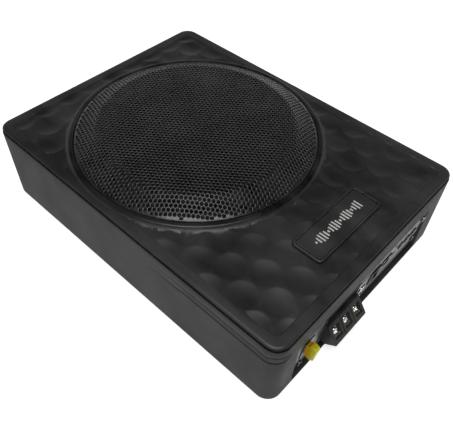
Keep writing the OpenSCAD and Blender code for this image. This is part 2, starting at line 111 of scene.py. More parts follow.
DIMPLE_PITCH, DIMPLE_R, DIMPLE_DEPTH = 26.8, 12.6, 1.3
DIMPLE_FIRST_X, DIMPLE_SHIFT = 142.0, 2.5
# Softens a dimple's edge; larger is softer
DIMPLE_BLUR = 0.006

BADGE_X = middle("badge_plate", 0)
BADGE_W, BADGE_L = plate_hi[0] - plate_lo[0], plate_hi[1] - plate_lo[1]
BADGE_R = 4.0

# The panel recess in the +X wall, and the places of screws, inserts and feet under the base
RECESS_Y = (-98.0, 92.0)
RECESS_Z = (4.6, 57.0)
COVER_SCREWS = [(157, 111), (157, -111), (62, 111), (62, -111), (-157, 111), (-157, -111), (-157, 0)]
INSERTS = [(130, 95), (130, -95), (-130, 95), (-130, -95)]
FEET = [(140, 78), (140, -78), (-140, 78), (-140, -78)]


# ---- mesh building


class Shape:
    """A mesh under construction, in millimetres."""

    def __init__(self):
        self.verts = []
        self.faces = []

    def add(self, points):
        """Adds points and returns their numbers."""
        start = len(self.verts)
        self.verts.extend(tuple(p) for p in points)
        return list(range(start, len(self.verts)))

    def bridge(self, a, b, closed=True):
        """Quads between two rows of points with the same count."""
        count = len(a) if closed else len(a) - 1
        for i in range(count):
            j = (i + 1) % len(a)
            self.faces.append((a[i], a[j], b[j], b[i]))

    def fill(self, loop):
        self.faces.append(tuple(loop))

    def lathe(self, profile, centre, segments, **caps):
        """A profile of (radius, height) turned about a vertical axis."""
        return self.stack([circle(centre, r, segments, z) for r, z in profile], **caps)

    def stack(self, loops, cap_start=False, cap_end=False):
        """A skin through loops of points, one above the other."""
        rows = [self.add(loop) for loop in loops]
        for a, b in zip(rows, rows[1:]):
            self.bridge(a, b)
        if cap_start:
            self.fill(rows[0])
        if cap_end:
            self.fill(rows[-1])
        return rows

    def triangles(self, loops, points, keep, height):
        """A sheet over loops and loose points.

        keep says which triangles stay, and height gives each point's Z.
        """
        flat, edges = [], []
        for loop in loops:
            start = len(flat)
            flat.extend(loop)
            edges.extend((start + i, start + (i + 1) % len(loop)) for i in range(len(loop)))
        flat.extend(points)
        made = delaunay_2d_cdt([Vector(p) for p in flat], edges, [], 0, 1e-4)
        xy = np.array([tuple(v) for v in made[0]])
        z = height(xy[:, 0], xy[:, 1])
        corners = np.array([tuple(f) for f in made[2]])
        centres = xy[corners].mean(1)
        corners = corners[keep(centres[:, 0], centres[:, 1])]
        start = len(self.verts)
        self.verts.extend((x, y, h) for (x, y), h in zip(xy, z))
        self.faces.extend(tuple(start + i for i in f) for f in corners.tolist())

    def join(self, other):
        """Adds another shape's points and faces."""
        start = len(self.verts)
        self.verts.extend(other.verts)
        self.faces.extend(tuple(start + i for i in f) for f in other.faces)

    def stand(self, origin, x_axis, z_axis):
        """Moves the whole shape into a frame given by its origin, X and Z."""
        x, z = Vector(x_axis).normalized(), Vector(z_axis).normalized()
        turn = Matrix((x, z.cross(x), z)).transposed()
        self.verts = [tuple(Vector(origin) + turn @ Vector(v)) for v in self.verts]
        return self


def circle(centre, r, segments, z=None):
    """Points round a circle, anticlockwise, with a height where z is given."""
    points = []
    for i in range(segments):
        a = 2 * math.pi * i / segments
        p = (centre[0] + r * math.cos(a), centre[1] + r * math.sin(a))
        points.append(p if z is None else (*p, z))
    return points


CORNER_STEPS = 14
# Points closer than this, in metres, are one point
WELD = 2e-6


def outline(half_x, half_y, r, z=None, centre=(0, 0), step=None, extra_y=()):
    """A rounded rectangle, anticlockwise from its +X side. extra_y are further points on that side."""
    straight_x, straight_y = half_x - r, half_y - r

    def split(length, extra=()):
        count = max(1, round(2 * length / step)) if step else 1
        inner = [-length + 2 * length * i / count for i in range(1, count)]
        inner = [v for v in inner if all(abs(v - e) > 0.2 for e in extra)]
        return sorted([*inner, *[e for e in extra if abs(e) < length]])

    side_x, side_y = split(straight_x), split(straight_y, extra_y)
    plain_y = split(straight_y)
    points = [(half_x, y) for y in side_y]
    points += corner(straight_x, straight_y, r, 0)
    points += [(-x, half_y) for x in side_x]
    points += corner(-straight_x, straight_y, r, 90)
    points += [(-half_x, -y) for y in plain_y]
    points += corner(-straight_x, -straight_y, r, 180)
    points += [(x, -half_y) for x in side_x]
    points += corner(straight_x, -straight_y, r, 270)
    points = [(x + centre[0], y + centre[1]) for x, y in points]
    return points if z is None else [(x, y, z) for x, y in points]


def corner(x, y, r, start):
    """A quarter circle about (x, y), from a starting angle in degrees."""
    return [(x + r * math.cos(math.radians(start + 90 * i / CORNER_STEPS)),
             y + r * math.sin(math.radians(start + 90 * i / CORNER_STEPS)))
            for i in range(CORNER_STEPS + 1)]


def rounded_distance(x, y, half_x, half_y, r):
    """Signed distance to a rounded rectangle, negative inside."""
    dx, dy = np.abs(x) - (half_x - r), np.abs(y) - (half_y - r)
    outside = np.hypot(np.maximum(dx, 0), np.maximum(dy, 0))
    return outside + np.minimum(np.maximum(dx, dy), 0) - r


def finish_mesh(shape, name, material, sharp_deg):
    """Turns a Shape into an object with welded points, outward normals and smooth shading."""
    mesh = bpy.data.meshes.new(name)
    mesh.from_pydata([(x * MM, y * MM, z * MM) for x, y, z in shape.verts], [], shape.faces)
    bm = bmesh.new()
    bm.from_mesh(mesh)
    bmesh.ops.remove_doubles(bm, verts=bm.verts, dist=WELD)
    bmesh.ops.dissolve_degenerate(bm, edges=bm.edges, dist=1e-7)
    loose = [v for v in bm.verts if not v.link_faces]
    bmesh.ops.delete(bm, geom=loose, context="VERTS")
    bmesh.ops.recalc_face_normals(bm, faces=bm.faces)
    for face in bm.faces:
        face.smooth = True
    bm.to_mesh(mesh)
    bm.free()
    mesh.set_sharp_from_angle(angle=math.radians(sharp_deg))
    mesh.materials.append(material)
    piece = bpy.data.objects.new(name, mesh)
    bpy.context.scene.collection.objects.link(piece)
    return piece


def place(shape, name, slot, stands_for=(), body="housing", sharp_deg=32):
    """A finished piece that rides on a body and stands for CAD nodes."""
    piece = finish_mesh(shape, name, MATERIALS[slot], sharp_deg)
    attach(piece, body)
    if stands_for:
        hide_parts(*stands_for)


def extra_piece(shape, name, material, sharp_deg):
    """A finished piece of the housing, with a material of its own."""
    piece = finish_mesh(shape, name, MATERIALS[material], sharp_deg)
    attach(piece, "housing")


# ---- materials


class Nodes:
    """A material's node tree, with short ways to add to it. Coordinates are the object's own, in metres."""

    def __init__(self, name):
        self.material = bpy.data.materials.new(name)
        self.material.use_nodes = True
        self.tree = self.material.node_tree
        self.shader = self.tree.nodes["Principled BSDF"]
        self.place = self.add("TexCoord").outputs["Object"]

    def add(self, kind, **values):
        node = self.tree.nodes.new("ShaderNode" + kind)
        for key, value in values.items():
            setattr(node, key, value)
        return node

    def link(self, a, b):
        self.tree.links.new(a, b)

    def math(self, operation, a, b):
        node = self.add("Math", operation=operation)
        self.link(a, node.inputs[0])
        self.link(b, node.inputs[1])
        return node.outputs[0]

    def texture(self, kind, scale, **values):
        node = self.add("Tex" + kind, **values)
        node.inputs["Scale"].default_value = scale
        self.link(self.place, node.inputs["Vector"])
        return node

    def noise(self, scale, detail=3.0, stretch=(1, 1, 1), roughness=0.5):
        """Noise from about 0.3 to 0.7; scale is in features a metre."""
        node = self.texture("Noise", scale)
        node.inputs["Detail"].default_value = detail
        node.inputs["Roughness"].default_value = roughness
        if stretch != (1, 1, 1):
            mapping = self.add("Mapping")
            mapping.inputs["Scale"].default_value = stretch
            self.link(self.place, mapping.inputs["Vector"])
            self.link(mapping.outputs["Vector"], node.inputs["Vector"])
        return node.outputs["Fac"]

    def spread(self, value, low, high, out_low=0.0, out_high=1.0):
        node = self.add("MapRange")
        for key, number in (("From Min", low), ("From Max", high), ("To Min", out_low), ("To Max", out_high)):
            node.inputs[key].default_value = number
        self.link(value, node.inputs["Value"])
        return node.outputs["Result"]

    def blend(self, factor, a, b):
        """Colour a where factor is 0, b where it is 1."""
        node = self.add("Mix", data_type="RGBA")
        self.link(factor, node.inputs["Factor"])
        for socket, colour in ((node.inputs[6], a), (node.inputs[7], b)):
            if isinstance(colour, bpy.types.NodeSocket):
                self.link(colour, socket)
            else:
                socket.default_value = (*colour, 1)
        return node.outputs[2]

    def bump(self, height, distance_mm, strength=1.0):
        node = self.add("Bump")
        node.inputs["Strength"].default_value = strength
        node.inputs["Distance"].default_value = distance_mm * MM
        self.link(height, node.inputs["Height"])
        return node.outputs["Normal"]

    def worn_edges(self, amount=1.0):
        """The amount on outer edges and 0 elsewhere, broken up by noise."""
        point = self.add("NewGeometry").outputs["Pointiness"]
        edge = self.spread(point, 0.52, 0.60, 0, amount)
        return self.math("MULTIPLY", edge, self.spread(self.noise(420, 4), 0.42, 0.62))

    def finish(self, colour=None, rough=None, normal=None, **fixed):
        """Wires up the shader: numbers go on its sockets, and the rest is linked."""
        names = {"metallic": "Metallic", "coat": "Coat Weight", "specular": "Specular IOR Level",
                 "sheen": "Sheen Weight"}
        for socket, value in (("Base Color", colour), ("Roughness", rough), ("Normal", normal)):
            if isinstance(value, bpy.types.NodeSocket):
                self.link(value, self.shader.inputs[socket])
            elif value is not None:
                self.shader.inputs[socket].default_value = (*value, 1) if socket == "Base Color" else value
        for key, value in fixed.items():
            self.shader.inputs[names[key]].default_value = value
        return self.material


def lighter(colour, share):
    """The colour moved towards white, or towards black where share is negative."""
    target = 1.0 if share > 0 else 0.0
    return tuple(c + (target - c) * abs(share) for c in colour)


def moulded(name, colour, rough=0.5, grain_mm=0.5, depth_mm=0.02, variation=0.12, wear=0.5, **fixed):
    """Moulded plastic: fine grain, faint flow marks, paler worn edges and dull smudges."""
    n = Nodes(name)
    flow = n.noise(14, 4, stretch=(1.0, 2.2, 1.0))
    tone = n.blend(n.spread(flow, 0.35, 0.65), lighter(colour, -variation), lighter(colour, variation * 0.25))
    tone = n.blend(n.worn_edges(wear * 0.5), tone, lighter(colour, 0.10))
    fine = n.noise(1000 / grain_mm, 3, roughness=0.6)
    speck = n.spread(n.noise(700 / grain_mm, 1), 0.3, 0.7, rough - 0.05, rough + 0.06)
    smudge = n.spread(n.noise(32, 5), 0.35, 0.65, -0.05, 0.05)
    return n.finish(tone, n.math("ADD", speck, smudge), n.bump(fine, depth_mm), **fixed)


def smooth_plastic(name, colour, rough=0.25, **fixed):
    """Smooth plastic with faint ripples and dull patches."""
    n = Nodes(name)
    tone = n.blend(n.spread(n.noise(60, 4), 0.35, 0.7), colour, lighter(colour, -0.15))
    dull = n.spread(n.noise(240, 5), 0.3, 0.7, rough * 0.8, rough * 1.35)
    return n.finish(tone, dull, n.bump(n.noise(160, 2), 0.01), **fixed)


def metal(name, colour, rough=0.3, brush=(1, 1, 1), scale=900, **fixed):
    """Metal with fine machining marks and faint stains."""
    n = Nodes(name)
    stain = n.blend(n.spread(n.noise(90, 5), 0.4, 0.7), colour, lighter(colour, -0.22))
    lines = n.noise(scale, 4, stretch=brush)
    dull = n.spread(lines, 0.3, 0.7, rough * 0.75, rough * 1.3)
    return n.finish(stain, dull, n.bump(lines, 0.012, 0.5), metallic=1.0, **fixed)


def painted_steel(name, colour, rough=0.4, **fixed):
    """Powder coat: fine orange peel, with paler worn edges."""
    n = Nodes(name)
    tone = n.blend(n.spread(n.noise(30, 4), 0.35, 0.65), lighter(colour, -0.12), lighter(colour, 0.02))
    tone = n.blend(n.worn_edges(0.35), tone, lighter(colour, 0.12))
    dull = n.spread(n.noise(500, 3), 0.3, 0.7, rough - 0.05, rough + 0.08)
    return n.finish(tone, dull, n.bump(n.noise(1500, 2), 0.015), **fixed)


def soft_rubber(name, colour, rough=0.7, **fixed):
    """Dull rubber, vinyl or foam with a fine uneven skin."""
    n = Nodes(name)
    tone = n.blend(n.spread(n.noise(70, 5), 0.35, 0.65), lighter(colour, -0.15), lighter(colour, 0.04))
    dull = n.spread(n.noise(300, 4), 0.3, 0.7, rough - 0.08, rough + 0.08)
    return n.finish(tone, dull, n.bump(n.noise(900, 4), 0.03), **fixed)


def cloth(name, colour, thread_mm=0.6, sheen=0.3, specular=0.5):
    """Woven or felted cloth: two crossed sets of threads."""
    n = Nodes(name)
    across = n.noise(300 / thread_mm, 2, stretch=(4, 0.5, 1))
    along = n.noise(300 / thread_mm, 2, stretch=(0.5, 4, 1))
    weave = n.math("MAXIMUM", across, along)
    tone = n.blend(n.spread(weave, 0.45, 0.7), lighter(colour, -0.35), lighter(colour, 0.06))
    return n.finish(tone, 0.9, n.bump(weave, 0.12), sheen=sheen, specular=specular)


def ferrite(name, colour):
    """Ground ceramic magnet: a coarse, matt, speckled surface."""
    n = Nodes(name)
    speck = n.spread(n.noise(500, 6, roughness=0.7), 0.4, 0.65)
    tone = n.blend(speck, lighter(colour, -0.3), lighter(colour, 0.08))
    dull = n.spread(n.noise(260, 5), 0.3, 0.7, 0.45, 0.75)
    return n.finish(tone, dull, n.bump(n.noise(700, 6, roughness=0.7), 0.08))


def pressed_cone(name, colour, **fixed):
    """Polypropylene with a fine pressed pattern of cells."""
    n = Nodes(name)
    cells = n.texture("Voronoi", 450, feature="DISTANCE_TO_EDGE")
    edge = n.spread(cells.outputs["Distance"], 0, 0.3)
    tone = n.blend(edge, lighter(colour, -0.3), colour)
    return n.finish(tone, 0.5, n.bump(edge, 0.05), **fixed)


def winding(name, colour, scale):
    """Enamelled wire laid side by side."""
    n = Nodes(name)
    wave = n.texture("Wave", scale, bands_direction="Z")
    wave.inputs["Distortion"].default_value = 0.6
    tone = n.blend(wave.outputs["Fac"], lighter(colour, -0.5), colour)
    return n.finish(tone, 0.32, n.bump(wave.outputs["Fac"], 0.15), metallic=0.85, coat=0.5)


def circuit(name, colour):
    """Solder mask over blocky raised tracks."""
    n = Nodes(name)
    track = n.texture("Voronoi", 130, feature="F1", distance="CHEBYCHEV")
    lines = n.spread(track.outputs["Distance"], 0.42, 0.46)
    tone = n.blend(lines, colour, lighter(colour, 0.08))
    return n.finish(tone, n.spread(n.noise(200, 3), 0.3, 0.7, 0.2, 0.35), n.bump(lines, 0.04), coat=0.4)


def lens_plastic(name, colour, rough=0.12):
    """Glossy coloured plastic, a little cloudy but not see-through."""
    n = Nodes(name)
    tone = n.blend(n.spread(n.noise(260, 4), 0.35, 0.7), colour, lighter(colour, 0.12))
    dull = n.spread(n.noise(420, 3), 0.3, 0.7, rough, rough * 1.8)
    return n.finish(tone, dull, n.bump(n.noise(300, 2), 0.015), specular=0.6, coat=0.3)


# Distances from the fuse's outer end, in millimetres: where its painted glow begins and where it is full, and
# where its blades begin
FUSE_GLOW_START, FUSE_GLOW_FULL = 7.5, 1.5
BLADE_FULL, BLADE_START = 16.6, 16.2
BLADE_METAL = (0.7, 0.69, 0.66)


def fuse_painted_glow(name, thick, thin):
    """Plastic painted with light: deep painted shade near the panel turns to a pale painted glow at the outer
    end, standing in for light through it; bare metal blades.
    """
    n = Nodes(name)
    parts = n.add("SeparateXYZ")
    n.link(n.place, parts.inputs["Vector"])
    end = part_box("fuse")[1][0]
    # painted light: the colour runs from painted shade near the panel to a painted glow at the outer end
    tone = n.blend(n.spread(parts.outputs["X"], end - FUSE_GLOW_START * MM, end - FUSE_GLOW_FULL * MM), thick, thin)
    cloudy = n.spread(n.noise(420, 4), 0.35, 0.7, 0.75, 1.0)
    shade = n.add("Mix", data_type="RGBA", blend_type="MULTIPLY")
    shade.inputs["Factor"].default_value = 1.0
    n.link(tone, shade.inputs[6])
    n.link(cloudy, shade.inputs[7])
    blade = n.spread(parts.outputs["X"], end - BLADE_FULL * MM, end - BLADE_START * MM, 1, 0)
    tone = n.blend(blade, shade.outputs[2], BLADE_METAL)
    n.link(blade, n.shader.inputs["Metallic"])
    dull = n.spread(n.noise(420, 3), 0.3, 0.7, 0.15, 0.28)
    return n.finish(tone, dull, n.bump(n.noise(300, 2), 0.015), specular=0.4)


COVER_BLACK = (0.0085, 0.0087, 0.0081)
BASE_GREY = (0.036, 0.0365, 0.036)
BLACK = (0.006, 0.006, 0.006)

MATERIALS = {
    "base_plastic": moulded("moulded_base", BASE_GREY, rough=0.55, grain_mm=0.7, depth_mm=0.025,
                            variation=0.05, specular=0.05),
    "lip_gloss": moulded("moulded_lip", (0.002, 0.002, 0.002), rough=0.3, grain_mm=0.5, depth_mm=0.008,
                         specular=0.3),
    "cover_plastic": moulded("moulded_cover", COVER_BLACK, rough=0.42, grain_mm=0.5, depth_mm=0.015),
    "badge_black": moulded("badge_rim", (0.02, 0.02, 0.02), rough=0.35, depth_mm=0.008),
    "badge_face": moulded("badge_face", (0.013, 0.013, 0.0125), rough=0.4, depth_mm=0.02),
    "badge_mark": smooth_plastic("badge_mark", (0.62, 0.62, 0.6), 0.35),
    "grille_steel": painted_steel("powder_coat", (0.004, 0.004, 0.004), rough=0.24),
    "felt": cloth("felt", (0.001, 0.001, 0.001), sheen=0.0, specular=0.08),
    "seal_foam": soft_rubber("seal_foam", (0.008, 0.008, 0.008), 0.9),
    "pad_rubber": soft_rubber("pad_rubber", (0.02, 0.02, 0.02), 0.75),
    "insert_brass": metal("insert_brass", (0.75, 0.55, 0.25), 0.28),
    "screw_black": metal("screw_black", (0.05, 0.05, 0.055), 0.35),
    "basket_steel": painted_steel("basket_enamel", (0.006, 0.006, 0.0065), 0.4, specular=0.2),
    "roll_rubber": soft_rubber("roll_rubber", (0.003, 0.003, 0.003), 0.6, specular=0.15),
    "cone_poly": pressed_cone("cone_poly", (0.003, 0.003, 0.0032), specular=0.15),
    "cap_poly": smooth_plastic("cap_poly", (0.003, 0.003, 0.003), 0.4, specular=0.15),
    "former_aluminium": metal("former_foil", (0.75, 0.75, 0.74), 0.3),
    "copper_wire": winding("copper_wire", (0.72, 0.3, 0.12), 1200),
    "spider_cloth": cloth("spider_cloth", (0.45, 0.28, 0.1), 0.8),
    "motor_steel": metal("zinc_plate", (0.55, 0.56, 0.58), 0.32, brush=(1, 1, 6)),
    "ferrite": ferrite("ferrite", (0.05, 0.05, 0.055)),
    "tab_board": smooth_plastic("tab_board", (0.28, 0.17, 0.07), 0.5),
    "panel_plastic": moulded("moulded_panel", (0.024, 0.0245, 0.024), rough=0.42, grain_mm=0.5,
                             depth_mm=0.02),
    "panel_screw_steel": metal("black_zinc", (0.16, 0.16, 0.17), 0.3),
    "terminal_plastic": moulded("moulded_terminal", (0.0018, 0.0018, 0.0019), rough=0.42, grain_mm=0.4,
                                depth_mm=0.012, specular=0.1),
    "terminal_metal": metal("tinned_metal", (0.88, 0.86, 0.8), 0.2),
    # the fuse's orange is painted shade near the panel, and its yellow-green is a painted glow at the outer
    # end
    "fuse_yellow": fuse_painted_glow("fuse_yellow", (0.56, 0.29, 0.001), (0.55, 0.56, 0.002)),
    "rca_metal": metal("nickel_shell", (0.85, 0.85, 0.84), 0.16),
    "rca_white": smooth_plastic("jack_white", (0.82, 0.76, 0.73), 0.2),
    "rca_red": smooth_plastic("jack_red", (0.55, 0.02, 0.02), 0.2),
    "socket_plastic": smooth_plastic("socket_black", BLACK, 0.3, specular=0.3),
    "contact_metal": metal("plated_contact", (0.85, 0.7, 0.4), 0.2),
    "switch_shell": metal("tinned_shell", (0.7, 0.7, 0.7), 0.25),
    "switch_black": smooth_plastic("slider_black", BLACK, 0.4),
    "pot_body": smooth_plastic("pot_body", (0.05, 0.12, 0.08), 0.4),
    "knob_plastic": moulded("moulded_knob", (0.03, 0.03, 0.03), rough=0.4, grain_mm=0.3, depth_mm=0.01),
    "lamp_lens": lens_plastic("lamp_lens", (0.05, 0.004, 0.004)),
    "board_laminate": circuit("board_laminate", (0.01, 0.09, 0.04)),
    "board_screw_steel": metal("zinc_screw", (0.7, 0.7, 0.7), 0.25),
    "sink_aluminium": metal("extruded_aluminium", (0.68, 0.69, 0.7), 0.35, brush=(1, 0.05, 1), scale=3000),
    "transistor_epoxy": moulded("transistor_epoxy", (0.015, 0.015, 0.015), rough=0.5, grain_mm=0.2),
    "capacitor_sleeve": smooth_plastic("capacitor_sleeve", (0.015, 0.02, 0.12), 0.25),
    "choke_copper": winding("choke_copper", (0.68, 0.28, 0.1), 900),
    "lead_pvc": soft_rubber("lead_pvc", (0.02, 0.02, 0.02), 0.45),
}

record_slot = {row["node"]: row["material_slot"] for row in frame["record"]["subparts"]}
for node, part in frame["nodes"].items():
    part.data.materials.clear()
    part.data.materials.append(MATERIALS[record_slot[node]])


# ---- cover


def dimple_centres():
    """Every dimple that reaches into the field, whole or cut."""
    column = DIMPLE_PITCH * math.sqrt(3) / 2
    found = []
    for i in range(-1, 14):
        x = DIMPLE_FIRST_X - i * column
        shift = 0.5 if i % 2 == 0 else 0.0
        for j in range(-6, 6):
            y = (j + shift) * DIMPLE_PITCH + DIMPLE_SHIFT
            if abs(x) < HALF_L - BORDER + DIMPLE_R and abs(y) < HALF_W - BORDER + DIMPLE_R:
                if math.hypot(x - DRIVER_X, y) > LIP_START - DIMPLE_R / 2:
                    found.append((x, y))
    return found


# The ring's outer slope, as distance from the driver axis and height
LIP_SLOPE = [(LIP_START, LIP_TOP), (116.9, LIP_TOP - 0.08), (117.6, LIP_TOP - 0.4), (118.3, LIP_TOP - 1.1),
             (119.2, LIP_TOP - 2.1), (120.4, FIELD - 0.05), (121.5, FIELD - 3)]
# How many of the slope's points belong to the glossy lip
LIP_ROWS = 4
RING_SEGMENTS = 288
DIMPLES = dimple_centres()
# Loops of points in and round each dimple: distance past its edge, and how many points
DIMPLE_LOOPS = [(0.5, 56), (0, 56), (-0.8, 56), (-3, 44), (-5.6, 32), (-8.2, 20), (-10.8, 8)]
# The gap round the badge, from its edge outwards, and how deep its bottom and the badge's seat lie
MOAT = (-0.2, 1.0)
MOAT_DEPTH, SEAT_DEPTH = 2.0, 0.8
# Loose points of the field keep this far from the ring's axis, the badge and the border
RING_CLEAR, BADGE_CLEAR, BORDER_CLEAR = 120.7, 1.4, 0.3
FIELD_STEP = 2.4
# The slot under the cover's edge: the angle where the rounding stops, and how far in the slot goes
SLOT_ANGLE, SLOT_DEPTH = 50, 2.4


def cover_height(x, y):
    """Height of the cover's upper face."""
    edge = rounded_distance(x, y, HALF_L - BORDER, HALF_W - BORDER, FIELD_CORNER)
    up = np.clip((edge + FIELD_RAMP) / FIELD_RAMP, 0, 1)
    dip = np.zeros_like(x)
    for cx, cy in DIMPLES:
        cap = DIMPLE_DEPTH * (1 - ((x - cx) ** 2 + (y - cy) ** 2) / DIMPLE_R**2)
        dip = np.maximum(dip, (cap + np.sqrt(cap * cap + DIMPLE_BLUR)) / 2)
    level = FIELD + (COVER_TOP - FIELD) * up - dip * (1 - up)
    r = np.hypot(x - DRIVER_X, y)
    level = np.maximum(level, np.interp(r, *zip(*LIP_SLOPE)))
    seat = rounded_distance(x - BADGE_X, y, BADGE_W / 2, BADGE_L / 2, BADGE_R)
    level = np.where(seat < MOAT[1] - 0.05, FIELD - MOAT_DEPTH, level)
    return np.where(seat < MOAT[0] - 0.05, FIELD - SEAT_DEPTH, level)


def cover_loop(inset, z=None):
    """The cover's outline, drawn in by an inset."""
    return outline(HALF_L - inset, HALF_W - inset, CORNER - inset, z, step=3.0)


def outside_ring(x, y, r):
    """True where a point is further from the driver axis than the straight sides of a ring drawn there."""
    return np.hypot(x - DRIVER_X, y) > r * math.cos(math.pi / RING_SEGMENTS) - 0.002


def field_points():
    """Loose points of the dimpled field: loops round each dimple, and a plain grid between them."""
    limit = [half - BORDER - FIELD_RAMP - BORDER_CLEAR for half in (HALF_L, HALF_W)]

    def free(x, y, margin):
        off_ring = math.hypot(x - DRIVER_X, y) > RING_CLEAR + margin
        past_x = abs(x - BADGE_X) - BADGE_W / 2
        past_y = abs(y) - BADGE_L / 2
        off_badge = max(past_x, past_y) > BADGE_CLEAR + margin
        return off_ring and off_badge and abs(x) < limit[0] - margin and abs(y) < limit[1] - margin

    points = []
    for centre in DIMPLES:
        for past, count in DIMPLE_LOOPS:
            points += [p for p in circle(centre, DIMPLE_R + past, count) if free(*p, 0.2)]
    for i in range(math.ceil(2 * HALF_L / FIELD_STEP)):
        for j in range(math.ceil(2 * HALF_W / FIELD_STEP)):
            x, y = -HALF_L + i * FIELD_STEP, -HALF_W + j * FIELD_STEP
            if free(x, y, 0.4) and all(math.hypot(x - cx, y - cy) > DIMPLE_R + 1.2 for cx, cy in DIMPLES):
                points.append((x, y))
    return points


def cover_face(s):
    """The upper face, with its border, dimples, ring slope and badge seat."""
    axis = (DRIVER_X, 0)
    loops = [cover_loop(EDGE_ROUND)]
    for inset in (BORDER, BORDER + FIELD_RAMP):
        loops.append(outline(HALF_L - inset, HALF_W - inset, FIELD_CORNER - (inset - BORDER), step=3.0))
    loops += [circle(axis, r, RING_SEGMENTS) for r, _ in LIP_SLOPE[LIP_ROWS - 1:-1]]
    for gap in (MOAT[0] - 0.1, MOAT[0], MOAT[1] - 0.1, MOAT[1]):
        loops.append(outline(BADGE_W / 2 + gap, BADGE_L / 2 + gap, BADGE_R + gap, centre=(BADGE_X, 0),
                             step=2.0))

    def keep(x, y):
        inside = rounded_distance(x, y, HALF_L - EDGE_ROUND, HALF_W - EDGE_ROUND, CORNER - EDGE_ROUND) < 0
        return inside & outside_ring(x, y, LIP_SLOPE[LIP_ROWS - 1][0])

    s.triangles(loops, field_points(), keep, cover_height)


def cover_edge(s):
    """The rounded edge, the slot under it and the skirt."""
    rounded = []
    for degrees in range(0, SLOT_ANGLE + 1, 10):
        a = math.radians(degrees)
        rounded.append(cover_loop(EDGE_ROUND * (1 - math.sin(a)), COVER_TOP - EDGE_ROUND * (1 - math.cos(a))))
    roof = rounded[-1][0][2] - 0.15
    s.stack(rounded + [cover_loop(0.9, roof), cover_loop(SLOT_DEPTH, roof), cover_loop(SLOT_DEPTH, PARTING),
                       cover_loop(SKIRT, PARTING), cover_loop(SKIRT, CEILING)])


def cover_underside(s):
    """The flat underside between the skirt and the driver's collar."""

    def keep(x, y):
        inside = rounded_distance(x, y, HALF_L - SKIRT, HALF_W - SKIRT, CORNER - SKIRT) < 0
        return inside & outside_ring(x, y, COLLAR_R)

    loops = [cover_loop(SKIRT), circle((DRIVER_X, 0), COLLAR_R, RING_SEGMENTS)]
    s.triangles(loops, [], keep, lambda x, y: np.full_like(x, CEILING))


def cover_lip():
    """The glossy lip round the grille, down to where the ring's slope begins."""
    lip = Shape()
    lip.lathe([(LIP_IN, LIP_TOP - 1.3), (LIP_IN, LIP_TOP - 0.6), (LIP_IN + 0.25, LIP_TOP - 0.15),
               (LIP_IN + 0.7, LIP_TOP), *LIP_SLOPE[:LIP_ROWS]], (DRIVER_X, 0), RING_SEGMENTS)
    extra_piece(lip, "cover_lip", "lip_gloss", 38)


def cover():
    s = Shape()
    cover_face(s)
    cover_edge(s)
    well = [(LIP_IN, LIP_TOP - 1.2), (LIP_IN, GROOVE), (WELL_R, GROOVE), (WELL_R, SEAT), (MOUTH_R, SEAT),
            (MOUTH_R, SEAT_UNDER), (COLLAR_R, SEAT_UNDER), (COLLAR_R, CEILING)]
    s.lathe(well, (DRIVER_X, 0), RING_SEGMENTS)
    cover_underside(s)
    cover_lip()
    place(s, "moulded_cover", "cover_plastic", ["top_cover"], sharp_deg=38)


# ---- base


CUT_CHAMFER = 0.5
CUT_EDGES_Y = [RECESS_Y[0] - CUT_CHAMFER, RECESS_Y[0], RECESS_Y[1], RECESS_Y[1] + CUT_CHAMFER]
CUT_EDGES_Z = [RECESS_Z[0] - CUT_CHAMFER, RECESS_Z[0], RECESS_Z[1], RECESS_Z[1] + CUT_CHAMFER]
# How far the underside's edge is drawn in from the walls
FOOT_INSET = 2.4
# The rounding above it, as inset and height
FOOT_ROUND = [(FOOT_INSET, 0), (1.4, 0.25), (0.6, 0.85), (0.15, 1.6), (0, 2.6)]
# The groove in the base's top edge: its two insets and its depth
TOP_GROOVE, GROOVE_DEPTH = (0.45, 1.6), 2.2
# Height, half width and depth of the two fine lines round the near corner
CONTOURS = [(62.8, 0.75, 0.8), (70.2, 0.7, 0.3)]
CONTOUR_LEVELS = [z + k * half for z, half, _ in CONTOURS for k in (-1.5, -0.8, 0, 0.8, 1.5)]
# They deepen along this stretch of the long wall, and fade along this stretch of the end wall
DEEPEN_X, FADE_Y = (40, 100), (-118, -106)
# A point within this distance of a wall's face belongs to that wall or its corner
NEAR_WALL = 14
# Radius and height down the blind holes of the cover screws and the bracket inserts, to their posts' feet
SCREW_WELL = [(4.9, UNDERSIDE), (4.4, UNDERSIDE + 0.5), (4.4, 60), (2.2, 60), (2.2, 72), (7, 72), (7, FLOOR)]
INSERT_WELL = [(4.0, UNDERSIDE), (3.5, UNDERSIDE + 0.5), (3.5, 12), (0.4, 12), (0.4, 14), (7, 14), (7, FLOOR)]
FOOT_POCKET = [(12.6, UNDERSIDE), (12.2, UNDERSIDE + 0.4), (12.2, UNDERSIDE + 1)]


def contour_line(x, y, z):
    """Depth of the fine lines round the near corner at a point of the wall."""
    if y < -HALF_W + NEAR_WALL:
        along = (x - DEEPEN_X[0]) / (DEEPEN_X[1] - DEEPEN_X[0])
    else:
        along = 1 - max(0.0, (y - FADE_Y[0]) / (FADE_Y[1] - FADE_Y[0]))
    share = max(0.0, min(1.0, along))
    for level, half, depth in CONTOURS:
        if abs(z - level) < half * 0.9:
            return depth * share
    return 0.0


def on_cut(x, y):
    """True for the points of a wall loop that cross the panel recess."""
    return x > HALF_L - 1 and RECESS_Y[0] - 0.01 <= y <= RECESS_Y[1] + 0.01


def base_loop(inset):
    """The base's outline, drawn in by an inset, with points where the panel recess is cut."""
    return outline(HALF_L - inset, HALF_W - inset, max(CORNER - inset, 1), step=6.0, extra_y=CUT_EDGES_Y)


